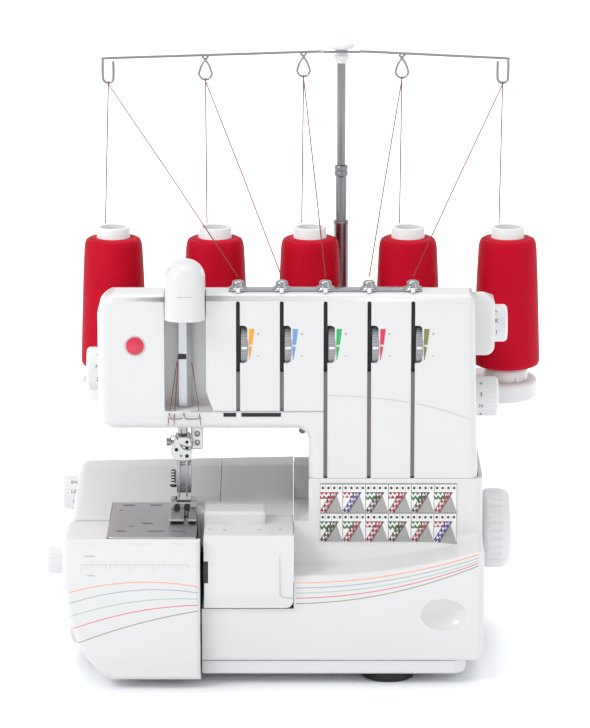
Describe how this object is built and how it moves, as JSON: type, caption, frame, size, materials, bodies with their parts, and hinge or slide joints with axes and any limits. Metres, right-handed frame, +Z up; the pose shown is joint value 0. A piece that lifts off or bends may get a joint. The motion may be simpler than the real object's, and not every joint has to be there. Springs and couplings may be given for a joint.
{
  "type": "serger overlock machine",
  "caption": "Free-standing overlock machine: hinged front and left covers, needle bar, presser foot, loopers, tension dials, handwheel and a telescopic thread stand with cones.",
  "frame": {"origin": "on the floor under the middle of the machine, with the thread stand raised", "axes": "+Z up, +X to the right as the user sees it, +Y away from the user, towards the thread stand"},
  "size_m": [0.3871, 0.28, 0.454],
  "materials": {
    "shell_white": "injection moulded white ABS, satin gloss",
    "base_white": "moulded white plastic, lightly textured",
    "dial_white": "moulded white plastic with printed marks",
    "dial_grey": "ribbed grey plastic with a white index",
    "switch_grey": "moulded grey rocker",
    "rubber": "matt black rubber",
    "brushed_steel": "ground steel",
    "chrome": "polished plated steel",
    "satin_aluminium": "satin drawn aluminium",
    "cast_aluminium": "die-cast aluminium",
    "motor_black": "black painted steel case",
    "thread_pack": "cross-wound red polyester thread on a white paper-tube core",
    "thread_line": "single red sewing thread"
  },
  "bodies": {
    "machine": {"base_pan": "base_white", "foot_front_left": "rubber", "foot_front_right": "rubber", "foot_rear_left": "rubber", "foot_rear_right": "rubber", "frame_casting": "cast_aluminium", "main_cover": "shell_white", "rear_cover": "shell_white", "bed_cover": "shell_white", "bed_rear_cover": "shell_white", "head_cover": "shell_white", "take_up_cover": "shell_white", "face_plate": "satin_aluminium", "needle_plate": "brushed_steel", "lower_knife": "brushed_steel", "motor": "motor_black", "drive_belt": "rubber", "thread_guides": "chrome", "spool_stand": "shell_white", "mast_lower": "chrome", "thread_cone_1": "thread_pack", "thread_cone_2": "thread_pack", "thread_cone_3": "thread_pack", "thread_cone_4": "thread_pack", "thread_cone_5": "thread_pack", "thread_1": "thread_line", "thread_2": "thread_line", "thread_3": "thread_line", "thread_4": "thread_line", "thread_5": "thread_line"},
    "left_cover": {"cloth_plate": "shell_white"},
    "front_cover": {"looper_cover": "shell_white"},
    "knife_arm": {"upper_knife": "brushed_steel"},
    "feed_bar": {"feed_dog": "brushed_steel"},
    "lower_looper_arm": {"lower_looper": "chrome"},
    "upper_looper_arm": {"upper_looper": "chrome"},
    "needle_carriage": {"needle_bar": "chrome", "needle_clamp": "chrome", "needle_left": "chrome", "needle_right": "chrome"},
    "presser": {"presser_bar": "chrome"},
    "foot": {"presser_foot": "brushed_steel"},
    "lifter": {"presser_lifter": "shell_white"},
    "drive_shaft": {"main_shaft": "brushed_steel", "handwheel": "dial_white"},
    "motor_rotor": {"motor_pulley": "brushed_steel"},
    "mast_mid": {"mast_middle": "chrome"},
    "mast_top": {"mast_upper": "chrome", "guide_bar": "chrome"},
    "switch": {"power_switch": "switch_grey"},
    "tension_1": {"tension_dial_1": "dial_grey"},
    "tension_2": {"tension_dial_2": "dial_grey"},
    "tension_3": {"tension_dial_3": "dial_grey"},
    "tension_4": {"tension_dial_4": "dial_grey"},
    "tension_5": {"tension_dial_5": "dial_grey"},
    "pattern_knob": {"pattern_dial": "dial_white"},
    "stitch_length_knob": {"stitch_length_dial": "dial_white"},
    "foot_pressure_knob": {"foot_pressure_dial": "dial_white"},
    "differential_knob": {"differential_dial": "dial_white"},
    "cutting_width_knob": {"cutting_width_dial": "dial_white"}
  },
  "joints": [
    {"name": "handwheel_spin", "type": "hinge", "parent": "machine", "child": "drive_shaft", "pos_m": [0, 0.01, 0.085], "axis": [1, 0, 0], "continuous": true},
    {"name": "motor_spin", "type": "hinge", "parent": "machine", "child": "motor_rotor", "pos_m": [0, 0.05, 0.06], "axis": [1, 0, 0], "continuous": true},
    {"name": "needle_bar_slide", "type": "slide", "parent": "machine", "child": "needle_carriage", "axis": [0, 0, 1], "range_m": [-0.018, 0.008]},
    {"name": "lower_looper_swing", "type": "hinge", "parent": "machine", "child": "lower_looper_arm", "pos_m": [-0.118, -0.06, 0.07], "axis": [0, 1, 0], "range_deg": [-15, 7]},
    {"name": "upper_looper_swing", "type": "hinge", "parent": "machine", "child": "upper_looper_arm", "pos_m": [-0.108, -0.064, 0.066], "axis": [0, 1, 0], "range_deg": [-7, 15]},
    {"name": "feed_slide", "type": "slide", "parent": "machine", "child": "feed_bar", "axis": [0, 1, 0], "range_m": [-0.002, 0.001]},
    {"name": "upper_knife_slide", "type": "slide", "parent": "machine", "child": "knife_arm", "axis": [0, 0, 1], "range_m": [-0.0025, 0.0055]},
    {"name": "presser_lift", "type": "slide", "parent": "machine", "child": "presser", "axis": [0, 0, 1], "range_m": [0, 0.006]},
    {"name": "foot_tilt", "type": "hinge", "parent": "presser", "child": "foot", "pos_m": [-0.086, -0.05, 0.121], "axis": [1, 0, 0], "range_deg": [-12, 0]},
    {"name": "lifter_turn", "type": "hinge", "parent": "machine", "child": "lifter", "pos_m": [-0.06, 0.068, 0.21], "axis": [0, 1, 0], "range_deg": [0, 50]},
    {"name": "front_cover_hinge", "type": "hinge", "parent": "machine", "child": "front_cover", "pos_m": [-0.035, -0.131, 0.064], "axis": [1, 0, 0], "range_deg": [0, 80]},
    {"name": "left_cover_hinge", "type": "hinge", "parent": "machine", "child": "left_cover", "pos_m": [-0.1735, -0.0865, 0.062], "axis": [0, 0, 1], "range_deg": [-75, 0]},
    {"name": "mast_top_slide", "type": "slide", "parent": "mast_mid", "child": "mast_top", "axis": [0, 0, 1], "range_m": [-0.067, 0], "deforming": ["thread_1", "thread_2", "thread_3", "thread_4", "thread_5"]},
    {"name": "mast_mid_slide", "type": "slide", "parent": "machine", "child": "mast_mid", "axis": [0, 0, 1], "range_m": [-0.036, 0]},
    {"name": "power_switch_rock", "type": "hinge", "parent": "machine", "child": "switch", "pos_m": [0.142, 0.06, 0.037], "axis": [0, 0, 1], "range_deg": [-7, 7]},
    {"name": "tension_dial_1_turn", "type": "hinge", "parent": "machine", "child": "tension_1", "pos_m": [-0.0407, -0.077, 0.2535], "axis": [1, 0, 0], "range_deg": [-150, 150]},
    {"name": "tension_dial_2_turn", "type": "hinge", "parent": "machine", "child": "tension_2", "pos_m": [-0.00775, -0.077, 0.2535], "axis": [1, 0, 0], "range_deg": [-150, 150]},
    {"name": "tension_dial_3_turn", "type": "hinge", "parent": "machine", "child": "tension_3", "pos_m": [0.0252, -0.077, 0.2535], "axis": [1, 0, 0], "range_deg": [-150, 150]},
    {"name": "tension_dial_4_turn", "type": "hinge", "parent": "machine", "child": "tension_4", "pos_m": [0.05815, -0.077, 0.2535], "axis": [1, 0, 0], "range_deg": [-150, 150]},
    {"name": "tension_dial_5_turn", "type": "hinge", "parent": "machine", "child": "tension_5", "pos_m": [0.0911, -0.077, 0.2535], "axis": [1, 0, 0], "range_deg": [-150, 150]},
    {"name": "pattern_dial_turn", "type": "hinge", "parent": "machine", "child": "pattern_knob", "pos_m": [0.1523, -0.015, 0.256], "axis": [1, 0, 0], "range_deg": [-135, 135]},
    {"name": "stitch_length_dial_turn", "type": "hinge", "parent": "machine", "child": "stitch_length_knob", "pos_m": [0.1393, -0.02, 0.199], "axis": [1, 0, 0], "range_deg": [-120, 120]},
    {"name": "foot_pressure_dial_turn", "type": "hinge", "parent": "machine", "child": "foot_pressure_knob", "pos_m": [-0.1493, -0.012, 0.219], "axis": [1, 0, 0], "range_deg": [-180, 180]},
    {"name": "differential_dial_turn", "type": "hinge", "parent": "machine", "child": "differential_knob", "pos_m": [-0.1723, 0.042, 0.105], "axis": [1, 0, 0], "range_deg": [-120, 120]},
    {"name": "cutting_width_dial_turn", "type": "hinge", "parent": "machine", "child": "cutting_width_knob", "pos_m": [-0.1723, -0.072, 0.082], "axis": [1, 0, 0], "range_deg": [-120, 120]}
  ],
  "couplings": [
    {"joint": "motor_spin", "follows": "handwheel_spin", "ratio": 3.4286},
    {"joint": "lower_looper_swing", "follows": "needle_bar_slide", "rad_per_m": 14},
    {"joint": "upper_looper_swing", "follows": "needle_bar_slide", "rad_per_m": -14},
    {"joint": "feed_slide", "follows": "needle_bar_slide", "ratio": 0.1},
    {"joint": "upper_knife_slide", "follows": "needle_bar_slide", "ratio": -0.3},
    {"joint": "lifter_turn", "follows": "presser_lift", "rad_per_m": 145},
    {"joint": "mast_mid_slide", "follows": "mast_top_slide", "ratio": 0.5372}
  ]
}
